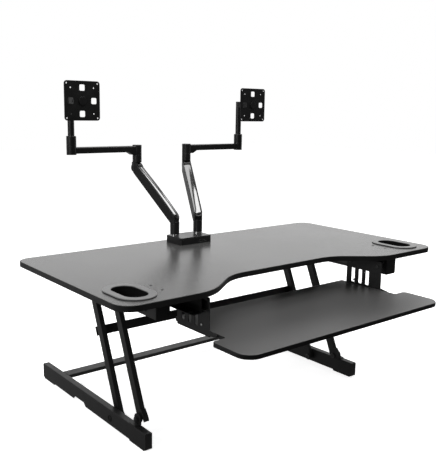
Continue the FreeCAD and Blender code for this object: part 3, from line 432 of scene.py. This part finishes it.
def access_plugs():
    """Cupped plugs in the holes of the feet through which the rear pivots are tightened."""
    bm = bmesh.new()
    pivot = joint_at("lift")
    for side, face in ((-1, low("foot_left").x), (1, high("foot_right").x)):
        turned_part(bm, (face - side * 2.5 * MM, pivot.y, pivot.z), (side, 0, 0),
                    [(0, 8.2 * MM), (2.45 * MM, 8.2 * MM), (2.5 * MM, 10 * MM), (3.1 * MM, 10 * MM),
                     (3.9 * MM, 9 * MM), (3.7 * MM, 8.1 * MM), (1.2 * MM, 7.7 * MM), (1.0 * MM, 5 * MM),
                     (2.6 * MM, 4.6 * MM), (3.0 * MM, 3.6 * MM)], 40)
    piece("foot_access_plugs", bm, "base", "rubber")


def top_plugs():
    """Flush covers over the rail bolts near the worktop's front corners."""
    bm = bmesh.new()
    top = high("worktop_board").z
    for side in (-1, 1):
        for y in RAIL_BOLT_Y:
            turned_part(bm, (side * RAIL_BOLT_X, worktop_middle() + y, top - 0.4 * MM), (0, 0, 1),
                        [(0, 3.6 * MM), (0.8 * MM, 3.6 * MM), (1.1 * MM, 3.1 * MM), (1.2 * MM, 1.5 * MM)], 24)
    piece("worktop_plugs", bm, "worktop", "black_plastic")


def crowned_cover(side):
    """The polished strip along a spring arm: crowned across, slightly bowed along, round at the elbow."""
    elbow, tip = joint_at("arm_raise_" + side), joint_at("arm_head_level_" + side)
    along = (tip - elbow).normalized()
    right = joint_axis("arm_raise_" + side)
    up = right.cross(along)
    # millimetres: half width, underside, edge, rise across the middle, rise along the middle
    half, base, edge, crown, bow = 12.4, 12.6, 13.6, 3.0, 2.4
    start, end = -5.0, (tip - elbow).length / MM - 11.5
    bm = bmesh.new()
    rings = []
    stations = [start + half * (1 - math.cos(math.radians(a))) for a in range(9, 91, 9)]
    stations += [start + half + (end - start - half) * k / 24 for k in range(1, 25)]
    for t in stations:
        reach = max(0.0, start + half - t)
        wide = math.sqrt(half * half - reach * reach)
        share = (t - start) / (end - start)
        lift = bow * 4 * share * (1 - share) * wide / half
        across_points = [(-wide, base)]
        for k in range(17):
            u = k / 8 - 1
            across_points.append((wide * u, edge + lift + crown * wide / half * (1 - u * u)))
        across_points.append((wide, base))
        rings.append([elbow + (along * t + right * c + up * z) * MM for c, z in across_points])
    skin(bm, rings)
    made = piece("arm_cover_strip_" + side, bm, "monitor_arm_" + side, "polished_cover", smooth=50)
    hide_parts("arm_cover_" + side)


def bracket_screws():
    """Domed screw heads on the outer faces of the tray brackets."""
    bm = bmesh.new()
    for side, face in ((-1, low("tray_bracket_left").x), (1, high("tray_bracket_right").x)):
        for y in BRACKET_SCREW_Y:
            start = (face - side * 0.2 * MM, worktop_middle() + y, BRACKET_SCREW_Z)
            turned_part(bm, start, (side, 0, 0),
                        [(0, 3.6 * MM), (0.9 * MM, 3.6 * MM), (1.7 * MM, 2.7 * MM), (2.1 * MM, 1.2 * MM)], 24)
    piece("bracket_screw_heads", bm, "tray", "zinc_steel")


def port_tongues():
    """Contact tongues inside the flat sockets of the arm's base."""
    panel_low, panel_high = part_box("port_panel")
    bm = bmesh.new()
    z = (panel_low.z + panel_high.z) / 2
    wide, deep, thick = 10.4 * MM, 6.6 * MM, 1.3 * MM
    for socket in (2.5 * MM, 17.5 * MM):
        x, y = panel_low.x + socket + 0.7 * MM, panel_low.y + 1.2 * MM
        for v in bmesh.ops.create_cube(bm, size=1.0)["verts"]:
            v.co = Vector((x + (v.co.x + 0.5) * wide, y + (v.co.y + 0.5) * deep,
                           z + 0.4 * MM + v.co.z * thick))
    bmesh.ops.bevel(bm, geom=bm.edges[:], offset=0.25 * MM, segments=2, affect="EDGES")
    piece("port_tongues", bm, "worktop", "zinc_steel")


# ---------------------------------------------------------------- studio

def light_path(s):
    return s.node("ShaderNodeLightPath").outputs["Is Camera Ray"]


def floor_material():
    """White paper to the eye with soft contact shadows; in reflections it's bright only behind the object."""
    s = Shader("pale_floor")
    speck = s.ramp(s.noise(4, 3.0), 0.3, 0.7, 0.9, 0.93)
    white = s.node("ShaderNodeCombineColor", Red=speck, Green=speck, Blue=speck).outputs[0]
    paper = s.node("ShaderNodeBsdfDiffuse", Color=white)
    glow = s.node("ShaderNodeEmission", Strength=0.86)
    seen = s.node("ShaderNodeAddShader")
    s.put(seen.inputs[0], paper.outputs[0])
    s.put(seen.inputs[1], glow.outputs[0])
    rear = s.node("ShaderNodeSeparateXYZ", Vector=s.where).outputs["Y"]
    hidden = s.node("ShaderNodeEmission", Strength=s.ramp(rear, -0.6, 1.2, 0.04, 0.4))
    s.choose(light_path(s), hidden.outputs[0], seen.outputs[0], s.tree.nodes["Material Output"])
    return s.material


def floor():
    mesh = bpy.data.meshes.new("floor")
    size = 12.0
    corners = [(-size, -size, 0), (size, -size, 0), (size, size, 0), (-size, size, 0)]
    mesh.from_pydata(corners, [], [(0, 1, 2, 3)])
    ground = bpy.data.objects.new("floor", mesh)
    bpy.context.scene.collection.objects.link(ground)
    mesh.materials.append(floor_material())


def area_light(name, place, target, size, power):
    light = bpy.data.lights.new(name, "AREA")
    light.shape = "RECTANGLE"
    light.size, light.size_y = size
    light.energy = power
    lamp = bpy.data.objects.new(name, light)
    lamp.location = place
    lamp.rotation_mode = "QUATERNION"
    lamp.rotation_quaternion = (Vector(target) - Vector(place)).to_track_quat("-Z", "Y")
    bpy.context.scene.collection.objects.link(lamp)


def overhead(name, span, radiance):
    """A level softbox 2.9 m up, from one depth to another, with a given brightness."""
    wide, height = 3.4, 2.9
    deep = span[1] - span[0]
    middle = (0.3, (span[0] + span[1]) / 2)
    area_light(name, (*middle, height), (*middle, 0), (wide, deep), radiance * math.pi * wide * deep)


def world():
    """A white backdrop behind the object that fades upwards; the camera's side of the room is dark."""
    made = bpy.data.worlds.new("studio")
    bpy.context.scene.world = made
    made.use_nodes = True
    s = Nodes(made.node_tree)
    toward = s.node("ShaderNodeTexCoord").outputs["Generated"]
    parts = s.node("ShaderNodeSeparateXYZ", Vector=toward)
    ahead = s.node("ShaderNodeVectorMath", operation="DOT_PRODUCT")
    s.put(ahead.inputs[0], toward)
    s.put(ahead.inputs[1], (-math.sin(VIEW_YAW), math.cos(VIEW_YAW), 0))
    backdrop = s.node("ShaderNodeMath", operation="MULTIPLY")
    s.put(backdrop.inputs[0], s.ramp(parts.outputs["Z"], 0.3, 0.75, 1.0, 0.0))
    s.put(backdrop.inputs[1], s.ramp(ahead.outputs["Value"], 0.1, 0.85, 0.06, 1.1))
    ceiling = s.ramp(parts.outputs["Z"], 0.6, 1.0, 0.05, 0.3)
    room = s.add(ceiling, backdrop.outputs[0])
    lit = s.node("ShaderNodeBackground", Strength=room)
    blank = s.node("ShaderNodeBackground", Strength=1.0)
    for shade in (lit, blank):
        shade.inputs["Color"].default_value = (1, 1, 1, 1)
    s.choose(light_path(s), lit.outputs[0], blank.outputs[0], s.tree.nodes["World Output"])


def camera():
    """The viewpoint: ahead of the object's left front corner and above the worktop."""
    data = bpy.data.cameras.new("camera")
    data.sensor_width = 36.0
    data.lens = VIEW_LENS
    data.clip_start, data.clip_end = 0.05, 60.0
    level = math.cos(VIEW_PITCH)
    forward = Vector((-math.sin(VIEW_YAW) * level, math.cos(VIEW_YAW) * level, math.sin(VIEW_PITCH)))
    right = forward.cross(Vector((0, 0, 1))).normalized()
    up = right.cross(forward)
    side = right * math.cos(VIEW_ROLL) + up * math.sin(VIEW_ROLL)
    top = up * math.cos(VIEW_ROLL) - right * math.sin(VIEW_ROLL)
    eye = bpy.data.objects.new("camera", data)
    axes = Matrix((side, top, -forward)).transposed()
    eye.matrix_world = Matrix.Translation(VIEW_FROM) @ axes.to_4x4()
    bpy.context.scene.collection.objects.link(eye)
    bpy.context.scene.camera = eye


paint_frame()
base_welds()
linkage_welds()
access_plugs()
top_plugs()
port_tongues()
bracket_screws()
for arm_side in ("left", "right"):
    crowned_cover(arm_side)
floor()
world()
overhead("rear_softbox", (-0.04, 1.2), 3.0)
overhead("front_softbox", (-1.2, -0.34), 5.4)
area_light("side_strip", (2.42, 0.66, 2.25), (-0.09, 0.29, 0.6), (0.3, 0.3), 2.3)
area_light("key", (-2.9, -0.7, 1.7), (0, 0, 0.3), (1.4, 1.2), 30)
camera()

bpy.context.scene.view_settings.view_transform = "Standard"
